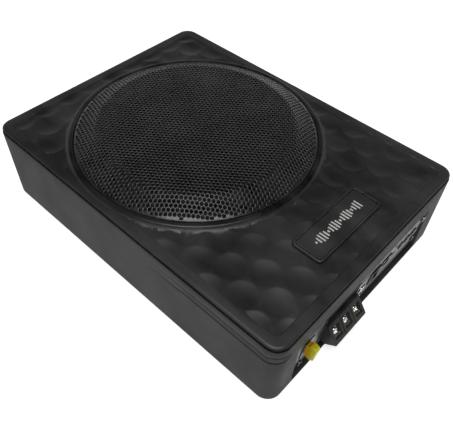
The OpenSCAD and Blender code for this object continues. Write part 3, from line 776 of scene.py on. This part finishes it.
def wall_loop(inset, z, sink=False):
    """A wall loop; sink draws the edge of the panel recess back by its chamfer."""
    made = []
    for x, y in base_loop(inset):
        groove = contour_line(x, y, z) if inset == 0 else 0
        by_end = abs(x) > HALF_L - NEAR_WALL
        x, y = x - groove * math.copysign(1, x) * by_end, y - groove * math.copysign(1, y)
        if sink and on_cut(x, y):
            x -= CUT_CHAMFER
        made.append((x, y, z))
    return made


def base_walls(s):
    """The wall's outer and inner skins, joined everywhere but at the panel recess."""
    foot = [wall_loop(inset, UNDERSIDE + rise) for inset, rise in FOOT_ROUND]
    lower = [wall_loop(0, CUT_EDGES_Z[0]), wall_loop(0, CUT_EDGES_Z[1], True)]
    upper = [wall_loop(0, CUT_EDGES_Z[2], True), wall_loop(0, CUT_EDGES_Z[3]),
             *[wall_loop(0, z) for z in CONTOUR_LEVELS], wall_loop(0, 74), wall_loop(0, BASE_TOP - 0.5),
             wall_loop(0.15, BASE_TOP - 0.15), wall_loop(0.4, BASE_TOP),
             *[wall_loop(inset, BASE_TOP - GROOVE_DEPTH) for inset in TOP_GROOVE],
             wall_loop(TOP_GROOVE[1], BASE_TOP)]
    inside = [wall_loop(WALL, z) for z in (BASE_TOP, CUT_EDGES_Z[2], CUT_EDGES_Z[1], FLOOR)]
    outer_low = s.stack(foot + lower)[-1]
    skin = s.stack(upper + inside[:2])
    outer_high, inner_high = skin[0], skin[-1]
    inner_low = s.stack(inside[2:])[0]

    in_cut = [on_cut(x, y) for x, y in base_loop(0)]
    for i in range(len(in_cut)):
        j = (i + 1) % len(in_cut)
        if in_cut[i] and in_cut[j]:
            s.faces.append((outer_low[i], outer_low[j], inner_low[j], inner_low[i]))
            s.faces.append((outer_high[i], outer_high[j], inner_high[j], inner_high[i]))
            continue
        s.faces.append((outer_low[i], outer_low[j], outer_high[j], outer_high[i]))
        s.faces.append((inner_low[i], inner_low[j], inner_high[j], inner_high[i]))
        for k in (i, j):
            if in_cut[k]:
                s.faces.append((outer_low[k], inner_low[k], inner_high[k], outer_high[k]))


def base_floor(s):
    """The underside and the floor, with the wells and foot pockets let into them."""
    floor_holes, under_holes = [], []
    for places, profile in ((COVER_SCREWS, SCREW_WELL), (INSERTS, INSERT_WELL)):
        for at in places:
            s.lathe(profile, at, 40)
            under_holes.append((at, profile[0][0], 40))
            floor_holes.append((at, profile[-1][0], 40))
    for at in FEET:
        s.lathe(FOOT_POCKET, at, 64, cap_end=True)
        under_holes.append((at, FOOT_POCKET[0][0], 64))
    for level, inset, holes in ((UNDERSIDE, FOOT_INSET, under_holes), (FLOOR, WALL, floor_holes)):
        loops = [base_loop(inset)] + [circle(at, r, segments) for at, r, segments in holes]

        def keep(x, y, holes=holes, inset=inset):
            ok = rounded_distance(x, y, HALF_L - inset, HALF_W - inset, CORNER - inset) < 0.01
            for at, r, _ in holes:
                ok &= np.hypot(x - at[0], y - at[1]) > r * 0.98
            return ok

        s.triangles(loops, [], keep, lambda x, y, level=level: np.full_like(x, level))


def base():
    s = Shape()
    base_walls(s)
    base_floor(s)
    place(s, "moulded_base", "base_plastic", ["base_shell"], sharp_deg=38)


# ---- grille


# The hexagonal lattice of holes
HOLE_PITCH, HOLE_R = 3.77, 1.45
LATTICE_TURN = math.radians(-21.7)
HOLE_SIDES = 12
# The sheet: its thickness, its flat middle, the bend, the sloping band and its edge
SHEET_T = 0.7
FLAT_R, BEND_R = 91.0, 12.0
BAND_ANGLE = math.radians(27)
SHEET_R = GRILLE_R - 0.9
# The middle and the band are separate pieces, which meet here
SHEET_SPLIT = 88.0


def grille_height(r):
    """Height of the grille's upper face at a distance from the driver axis."""
    start = FLAT_R - BEND_R * math.tan(BAND_ANGLE / 2)
    if r < start:
        return GRILLE_TOP
    end = start + BEND_R * math.sin(BAND_ANGLE)
    if r < end:
        return GRILLE_TOP - (BEND_R - math.sqrt(BEND_R**2 - (r - start) ** 2))
    bend_drop = BEND_R * (1 - math.cos(BAND_ANGLE))
    return GRILLE_TOP - bend_drop - (r - end) * math.tan(BAND_ANGLE)


def grille_point(x, y, drop):
    """A point of the sheet: drop is how far below its upper face, square to it."""
    r = math.hypot(x, y)
    slope = (grille_height(r + 0.05) - grille_height(max(r - 0.05, 0))) / 0.1
    square = math.hypot(1, slope)
    inwards = drop * slope / square / max(r, 1e-6)
    return (DRIVER_X + x * (1 + inwards), y * (1 + inwards), grille_height(r) - drop / square)


def within(x, y, limit):
    """The point, drawn in to a circle where it lies outside it."""
    r = math.hypot(x, y)
    return (x, y) if r <= limit else (x * limit / r, y * limit / r)


def lattice():
    """Centres of the holes, with their distance from the grille's middle."""
    span = int(GRILLE_R / HOLE_PITCH * 1.2) + 2
    ux, uy = math.cos(LATTICE_TURN) * HOLE_PITCH, math.sin(LATTICE_TURN) * HOLE_PITCH
    vx = math.cos(LATTICE_TURN + math.pi / 3) * HOLE_PITCH
    vy = math.sin(LATTICE_TURN + math.pi / 3) * HOLE_PITCH
    for i in range(-span, span + 1):
        for j in range(-span, span + 1):
            cx, cy = i * ux + j * vx, i * uy + j * vy
            if math.hypot(cx, cy) <= SHEET_R + HOLE_PITCH:
                yield cx, cy, math.hypot(cx, cy)


def grille_sheet():
    """The perforated sheet, one hexagonal cell with its hole at a time."""
    inner, outer = Shape(), Shape()
    for cx, cy, r in lattice():
        rim, hole = [], []
        for k in range(HOLE_SIDES):
            a = LATTICE_TURN + 2 * math.pi / HOLE_SIDES * k
            far = HOLE_PITCH / 2 if k % 2 == 0 else HOLE_PITCH / math.sqrt(3)
            rim.append(within(cx + far * math.cos(a), cy + far * math.sin(a), SHEET_R))
            hole.append(within(cx + HOLE_R * math.cos(a), cy + HOLE_R * math.sin(a), SHEET_R - 0.4))
        if all(math.hypot(*p) > SHEET_R - 0.01 for p in rim):
            continue
        s = inner if r < SHEET_SPLIT else outer
        top = s.add([grille_point(*p, 0) for p in rim])
        bottom = s.add([grille_point(*p, SHEET_T) for p in rim])
        if r < SHEET_R - HOLE_R * 0.4:
            edge = s.add([grille_point(*p, 0) for p in hole])
            lower = s.add([grille_point(*p, SHEET_T) for p in hole])
            s.bridge(top, edge)
            s.bridge(edge, lower)
            s.bridge(lower, bottom)
        else:
            s.fill(top)
            s.fill(bottom[::-1])
    place(inner, "grille_mesh_middle", "grille_steel", ["grille"], sharp_deg=100)
    place(outer, "grille_mesh_band", "grille_steel", sharp_deg=100)


def grille_rim():
    """The folded rim that closes the sheet's edge."""
    rim_z = grille_height(SHEET_R)
    ring = Shape()
    ring.lathe([(SHEET_R - 0.2, rim_z - 0.1), (SHEET_R + 0.2, rim_z - 0.15), (GRILLE_R - 0.25, rim_z - 0.4),
                (GRILLE_R, rim_z - 0.9), (GRILLE_R, GROOVE + 0.8), (GRILLE_R - 1, GROOVE + 0.8),
                (GRILLE_R - 1, rim_z - 1.2), (SHEET_R - 0.2, rim_z - 0.9), (SHEET_R - 0.2, rim_z - 0.1)],
               (DRIVER_X, 0), RING_SEGMENTS)
    place(ring, "grille_rim", "grille_steel", sharp_deg=50)


# ---- badge


# A level display: half the length of each bar, half the bars' width, and the length of the row
BAR_REACH = [1.2 + 3.4 * abs(math.sin(0.62 * i)) for i in range(19)]
BAR_HALF, BAR_SPAN = 0.75, 58.0
FACE_INSET = 2.2


def badge_loop(inset, z):
    return outline(BADGE_W / 2 - inset, BADGE_L / 2 - inset, max(BADGE_R - inset, 0.6), z,
                   centre=(BADGE_X, 0), step=4.0)


def badge():
    """A plain plate: a rounded rim, a fine groove, a flush face and a row of level bars."""
    top, low = plate_hi[2], plate_lo[2]
    rim = Shape()
    rim.stack([badge_loop(inset, z) for inset, z in (
        (0, low), (0, top - 0.5), (0.15, top - 0.15), (0.5, top), (1.2, top), (1.35, top - 0.1),
        (1.4, top - 1.5), (FACE_INSET + 0.05, top - 1.5))], cap_start=True, cap_end=True)
    place(rim, "badge_frame", "badge_black", ["badge_plate"])
    face = Shape()
    face.stack([badge_loop(inset, z) for inset, z in (
        (FACE_INSET, top - 1.45), (FACE_INSET, top - 0.45), (FACE_INSET + 0.15, top - 0.3),
        (FACE_INSET + 0.5, top - 0.25))], cap_start=True, cap_end=True)
    place(face, "badge_panel", "badge_face", ["badge_inlay"])
    badge_bars(top)


def badge_bars(top):
    """The bars, printed thick enough to stand a little proud of the face."""
    marks = Shape()
    for i, reach in enumerate(BAR_REACH):
        centre = (BADGE_X, BAR_SPAN * (i / (len(BAR_REACH) - 1) - 0.5))
        loops = []
        for inset, z in ((0, top - 0.26), (0, top - 0.12), (0.12, top - 0.06)):
            half = BAR_HALF - inset
            loops.append(outline(reach - inset, half, half - 0.02, z, centre=centre))
        marks.stack(loops, cap_end=True)
    extra_piece(marks, "badge_bars", "badge_mark", 30)


# ---- terminals


# The cross slot of a terminal screw: half its arms' width and length, and its depth
ARM_HALF, ARM_REACH, CROSS_DEPTH = 0.45, 2.0, 0.9
CROSS_ARM = [(ARM_HALF, ARM_REACH), (-ARM_HALF, ARM_REACH), (-ARM_HALF, ARM_HALF)]
QUARTER_TURNS = ((1, 0), (0, 1), (-1, 0), (0, -1))
CROSS = [(a * x - b * y, b * x + a * y) for a, b in QUARTER_TURNS for x, y in CROSS_ARM]
# The screw's head and shank; heights are along its axis from the joint's place
HEAD_R, HEAD_LOW, HEAD_RISE = 3.1, -3.3, 1.9
SHANK_R, SHANK_END = 1.7, -10.5
# How far each screw's slot is turned, in degrees, by the screw's name
SLOT_TURNS = {"power": 18, "remote": -25, "ground": 38}
# A clamp: its bent strip seen from the side, and where it is cut across
CLAMP_BEND = [(-5.4, -3.75), (-3.6, -3.75), (-3.1, -3.6), (3.1, -3.6), (3.9, -3.3), (5.0, -1.6),
              (4.8, -1.45), (3.6, -3.0), (3.0, -3.3), (-3.2, -3.3), (-3.7, -3.5), (-5.4, -3.5)]
CLAMP_CUTS = (-4.1, -3.8, 3.8, 4.1)


def terminal_screw(key, origin, axis, across):
    """A pan-headed cross-slot screw."""
    s = Shape()
    edge = HEAD_R * 0.8

    def height(x, y):
        r = np.hypot(x, y)
        level = HEAD_LOW + HEAD_RISE - 0.35 * HEAD_RISE * (r / edge) ** 2
        on_arm = np.minimum(np.abs(x), np.abs(y)) < ARM_HALF + 0.01
        within_reach = np.maximum(np.abs(x), np.abs(y)) < ARM_REACH + 0.01
        return np.where(on_arm & within_reach, level - CROSS_DEPTH, level)

    wide = [(x * 1.04 + math.copysign(0.02, x), y * 1.04 + math.copysign(0.02, y)) for x, y in CROSS]
    rings = [circle((0, 0), edge, 40), CROSS, wide]
    dots = [p for r, n in ((edge * 0.92, 30), (edge * 0.7, 20)) for p in circle((0, 0), r, n)
            if min(abs(p[0]), abs(p[1])) > 0.75]
    s.triangles(rings, dots, lambda x, y: np.hypot(x, y) < edge, height)
    s.lathe([(edge, HEAD_LOW + 0.65 * HEAD_RISE), (HEAD_R * 0.93, HEAD_LOW + 0.45 * HEAD_RISE),
             (HEAD_R, HEAD_LOW + 0.2 * HEAD_RISE), (HEAD_R, HEAD_LOW), (SHANK_R, HEAD_LOW),
             (SHANK_R, SHANK_END)], (0, 0), 40, cap_end=True)
    s.stand(origin, across, axis)
    place(s, "screw_" + key, "terminal_metal", ["terminal_screw_" + key], key + "_screw", sharp_deg=30)


def wire_clamp(origin, axis, across):
    """The bent strip under a screw's head."""
    s = Shape()
    rows = [s.add([(x, y, z) for x, z in CLAMP_BEND]) for y in CLAMP_CUTS]
    for a, b in zip(rows, rows[1:]):
        s.bridge(a, b)
    s.fill(rows[0])
    s.fill(rows[-1])
    return s.stand(origin, across, axis)


def terminals():
    """Screws and their clamps in the wells of the terminal block."""
    clamps = Shape()
    joints = {joint["name"]: joint for joint in frame["record"]["behaviour"]["joints"]}
    for key, degrees in SLOT_TURNS.items():
        joint = joints[key + "_screw_turn"]
        origin = [v / MM for v in joint["pos_m"]]
        axis = joint["axis"]
        across = (axis[2], 0, -axis[0])
        turn = math.radians(degrees)
        slot_way = Vector(across) * math.cos(turn) + Vector((0, 1, 0)) * math.sin(turn)
        terminal_screw(key, origin, axis, slot_way)
        clamps.join(wire_clamp(origin, axis, across))
    place(clamps, "wire_clamps", "terminal_metal", ["terminal_clamps"], sharp_deg=25)


# ---- soft rings cut into sectors


SECTORS = 16


def soft_ring(node, slot):
    """The node's ring cut into sectors round the driver axis, each a piece of its own."""
    part = frame["nodes"][node]
    cut = bmesh.new()
    cut.from_mesh(part.data)
    cut.transform(part.matrix_world)
    bmesh.ops.remove_doubles(cut, verts=cut.verts, dist=WELD)
    axis = Vector((DRIVER_X * MM, 0, 0))
    for i in range(SECTORS // 2):
        angle = 2 * math.pi * i / SECTORS
        bmesh.ops.bisect_plane(cut, geom=[*cut.verts, *cut.edges, *cut.faces], plane_co=axis,
                               plane_no=(-math.sin(angle), math.cos(angle), 0))
    wedges = [Shape() for _ in range(SECTORS)]
    for face in cut.faces:
        centre = face.calc_center_median() - axis
        turn = math.atan2(centre.y, centre.x) % (2 * math.pi)
        wedge = wedges[int(turn / (2 * math.pi) * SECTORS) % SECTORS]
        wedge.fill(wedge.add([[c / MM for c in v.co] for v in face.verts]))
    cut.free()
    for i, wedge in enumerate(wedges):
        piece = finish_mesh(wedge, f"{node}_sector_{i}", MATERIALS[slot], 40)
        if i == 0:
            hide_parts(node)
        angle = 2 * math.pi * (i + 0.5) / SECTORS
        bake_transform(piece)


# ---- bevels on the CAD nodes


# The nodes with each width of bevel, in millimetres
BEVELS = {
    0.2: ("power_lamp",),
    0.25: ("rca_barrels", "panel_screws", "bracket_inserts", "cover_screws"),
    0.3: ("control_panel", "fuse_holder", "rca_block", "rca_insert_left", "rca_insert_right",
          "speaker_socket", "remote_port", "switch_slider"),
    0.35: ("terminal_block", "gain_knob", "crossover_knob", "boost_knob"),
    0.5: ("fuse", "foot_pads"),
}
# Wide flat nodes whose long thin triangles would show as streaks, so they are merged first
MERGED_FLATS = ("control_panel",)


def bevel_nodes():
    """Softens the edges of the CAD nodes that show, by modifiers only."""
    for width, node in [(width, node) for width, nodes in BEVELS.items() for node in nodes]:
        part = frame["nodes"][node]
        weld = part.modifiers.new("weld", "WELD")
        weld.merge_threshold = WELD
        if node in MERGED_FLATS:
            flat = part.modifiers.new("flat_faces", "DECIMATE")
            flat.decimate_type = "DISSOLVE"
            flat.angle_limit = math.radians(0.5)
        bevel = part.modifiers.new("bevel", "BEVEL")
        bevel.width = width * MM
        bevel.segments = 2
        bevel.limit_method = "ANGLE"
        bevel.angle_limit = math.radians(35)
        bevel.use_clamp_overlap = True
        part.modifiers.new("normals", "WEIGHTED_NORMAL")


# ---- studio


# Angles in degrees, places in metres and the lens in millimetres
CAMERA_AZIMUTH, CAMERA_ELEVATION, CAMERA_ROLL = 40.59, 49.25, 2.78
CAMERA_TARGET = Vector((0.04196, -0.03421, 0.04134))
CAMERA_DISTANCE = 0.49023
CAMERA_LENS = 43.07
CAMERA_SHIFT = -0.0036


def camera():
    """The camera, turned about its target by azimuth, elevation and roll."""
    a, e, roll = (math.radians(v) for v in (CAMERA_AZIMUTH, CAMERA_ELEVATION, CAMERA_ROLL))
    back = Vector((math.sin(a) * math.cos(e), -math.cos(a) * math.cos(e), math.sin(e)))
    right = (-back).cross(Vector((0, 0, 1))).normalized()
    up = right.cross(-back)
    right, up = right * math.cos(roll) + up * math.sin(roll), up * math.cos(roll) - right * math.sin(roll)
    turned = Matrix((right, up, back)).transposed().to_4x4()
    data = bpy.data.cameras.new("camera")
    data.sensor_width = 36
    data.lens = CAMERA_LENS
    data.shift_x = CAMERA_SHIFT
    data.clip_start = 0.02
    seen = bpy.data.objects.new("camera", data)
    seen.matrix_world = Matrix.Translation(CAMERA_TARGET + back * CAMERA_DISTANCE) @ turned
    bpy.context.scene.collection.objects.link(seen)
    bpy.context.scene.camera = seen


# Brightness of the surroundings by the sine of the height above the horizon
SKY = [(0.0, 0.9), (0.2, 0.6), (0.45, 0.12), (0.64, 0.03), (1.0, 0.03)]
# The floor: half its side in millimetres, its squares a side, and the light it gives off
FLOOR_REACH, FLOOR_CELLS, FLOOR_GLOW = 6000, 8, 0.75
# The soft lamp overhead: where it hangs, what it aims at, its side in metres and its power
LAMP_PLACE, LAMP_AIM = Vector((0.22, -0.28, 1.3)), Vector((0.0, 0.0, 0.05))
LAMP_SIDE, LAMP_POWER = 0.8, 11


def overhead_lamp():
    data = bpy.data.lights.new("overhead", "AREA")
    data.shape = "RECTANGLE"
    data.size, data.size_y = LAMP_SIDE, LAMP_SIDE
    data.energy = LAMP_POWER
    lamp = bpy.data.objects.new("overhead", data)
    lamp.location = LAMP_PLACE
    lamp.rotation_mode = "QUATERNION"
    lamp.rotation_quaternion = (LAMP_AIM - LAMP_PLACE).to_track_quat("-Z", "Y")
    bpy.context.scene.collection.objects.link(lamp)


def pale_floor():
    """A plain floor that glows a little, so that it stays pale under the soft light."""
    floor = Shape()
    marks = [FLOOR_REACH * (2 * i / FLOOR_CELLS - 1) for i in range(FLOOR_CELLS + 1)]
    rows = [floor.add([(x, y, 0) for x in marks]) for y in marks]
    for a, b in zip(rows, rows[1:]):
        floor.bridge(a, b, closed=False)
    n = Nodes("pale_floor")
    tone = n.blend(n.spread(n.noise(3, 2), 0.3, 0.7), (0.8, 0.8, 0.8), (0.84, 0.84, 0.84))
    n.shader.inputs["Emission Color"].default_value = (1, 1, 1, 1)
    n.shader.inputs["Emission Strength"].default_value = FLOOR_GLOW
    sheet = finish_mesh(floor, "floor", n.finish(tone, 0.6), 30)


def pale_world():
    """Surroundings that are bright at the horizon and dark overhead."""
    world = bpy.data.worlds.new("studio")
    bpy.context.scene.world = world
    world.use_nodes = True
    tree = world.node_tree
    way = tree.nodes.new("ShaderNodeTexCoord").outputs["Generated"]
    split = tree.nodes.new("ShaderNodeSeparateXYZ")
    tree.links.new(way, split.inputs["Vector"])
    ramp = tree.nodes.new("ShaderNodeValToRGB")
    tree.links.new(split.outputs["Z"], ramp.inputs["Fac"])
    ramp.color_ramp.elements[0].position, ramp.color_ramp.elements[1].position = SKY[0][0], SKY[-1][0]
    for height, _ in SKY[1:-1]:
        ramp.color_ramp.elements.new(height)
    for element, (_, level) in zip(ramp.color_ramp.elements, SKY):
        element.color = (level, level, level, 1)
    tree.links.new(ramp.outputs["Color"], tree.nodes["Background"].inputs["Color"])


def studio():
    pale_floor()
    pale_world()
    overhead_lamp()
    bpy.context.scene.view_settings.view_transform = "Standard"


camera()
cover()
base()
grille_sheet()
grille_rim()
badge()
terminals()
soft_ring("surround", "roll_rubber")
soft_ring("spider", "spider_cloth")
bevel_nodes()
studio()
